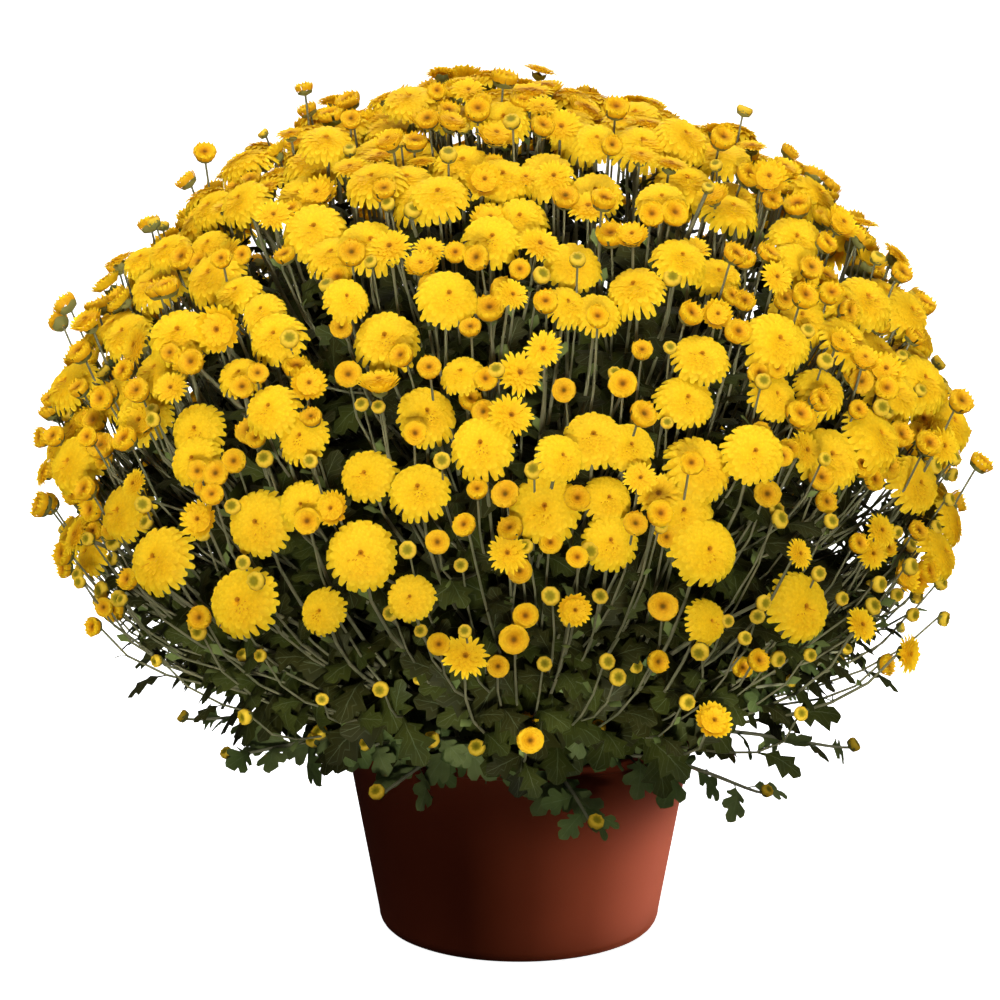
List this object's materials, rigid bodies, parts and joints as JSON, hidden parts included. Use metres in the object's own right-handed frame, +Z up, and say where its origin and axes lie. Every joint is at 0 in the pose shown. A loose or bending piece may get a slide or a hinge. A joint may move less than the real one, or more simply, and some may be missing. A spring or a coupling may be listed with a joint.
{
  "type": "potted chrysanthemum",
  "caption": "Potted chrysanthemum: a dome of double yellow blooms on branching leafy stems, in a round tapered plastic pot filled with potting mix.",
  "frame": {"origin": "centre of the pot's flat base, on the ground", "axes": "+Z up along the pot's axis, -Y towards the viewer of the picture, +X to that viewer's right"},
  "size_m": [0.6624, 0.6599, 0.6084],
  "materials": {
    "pot_plastic": "satin",
    "potting_mix": "matte",
    "stems_and_leaves": "matte",
    "petals": "matte"
  },
  "bodies": {
    "root": {"pot": "pot_plastic", "potting_mix": "potting_mix", "leafy_stem_01": "stems_and_leaves", "leafy_stem_02": "stems_and_leaves", "leafy_stem_03": "stems_and_leaves", "leafy_stem_04": "stems_and_leaves", "leafy_stem_05": "stems_and_leaves", "leafy_stem_06": "stems_and_leaves", "leafy_stem_07": "stems_and_leaves", "leafy_stem_08": "stems_and_leaves", "leafy_stem_09": "stems_and_leaves", "leafy_stem_10": "stems_and_leaves", "leafy_stem_11": "stems_and_leaves", "leafy_stem_12": "stems_and_leaves", "leafy_stem_13": "stems_and_leaves", "leafy_stem_14": "stems_and_leaves", "leafy_stem_15": "stems_and_leaves", "leafy_stem_16": "stems_and_leaves", "leafy_stem_17": "stems_and_leaves", "leafy_stem_18": "stems_and_leaves", "leafy_stem_19": "stems_and_leaves", "leafy_stem_20": "stems_and_leaves", "leafy_stem_21": "stems_and_leaves", "leafy_stem_22": "stems_and_leaves", "leafy_stem_23": "stems_and_leaves", "leafy_stem_24": "stems_and_leaves", "leafy_stem_25": "stems_and_leaves", "leafy_stem_26": "stems_and_leaves", "leafy_stem_27": "stems_and_leaves", "bloom_bunch_01": "petals", "bloom_bunch_02": "petals", "bloom_bunch_03": "petals", "bloom_bunch_04": "petals", "bloom_bunch_05": "petals", "bloom_bunch_06": "petals", "bloom_bunch_07": "petals", "bloom_bunch_08": "petals", "bloom_bunch_09": "petals", "bloom_bunch_10": "petals", "bloom_bunch_11": "petals", "bloom_bunch_12": "petals", "bloom_bunch_13": "petals", "bloom_bunch_14": "petals", "bloom_bunch_15": "petals", "bloom_bunch_16": "petals", "bloom_bunch_17": "petals", "bloom_bunch_18": "petals", "bloom_bunch_19": "petals", "bloom_bunch_20": "petals", "bloom_bunch_21": "petals", "bloom_bunch_22": "petals", "bloom_bunch_23": "petals", "bloom_bunch_24": "petals", "bloom_bunch_25": "petals", "bloom_bunch_26": "petals", "bloom_bunch_27": "petals"}
  },
  "joints": []
}
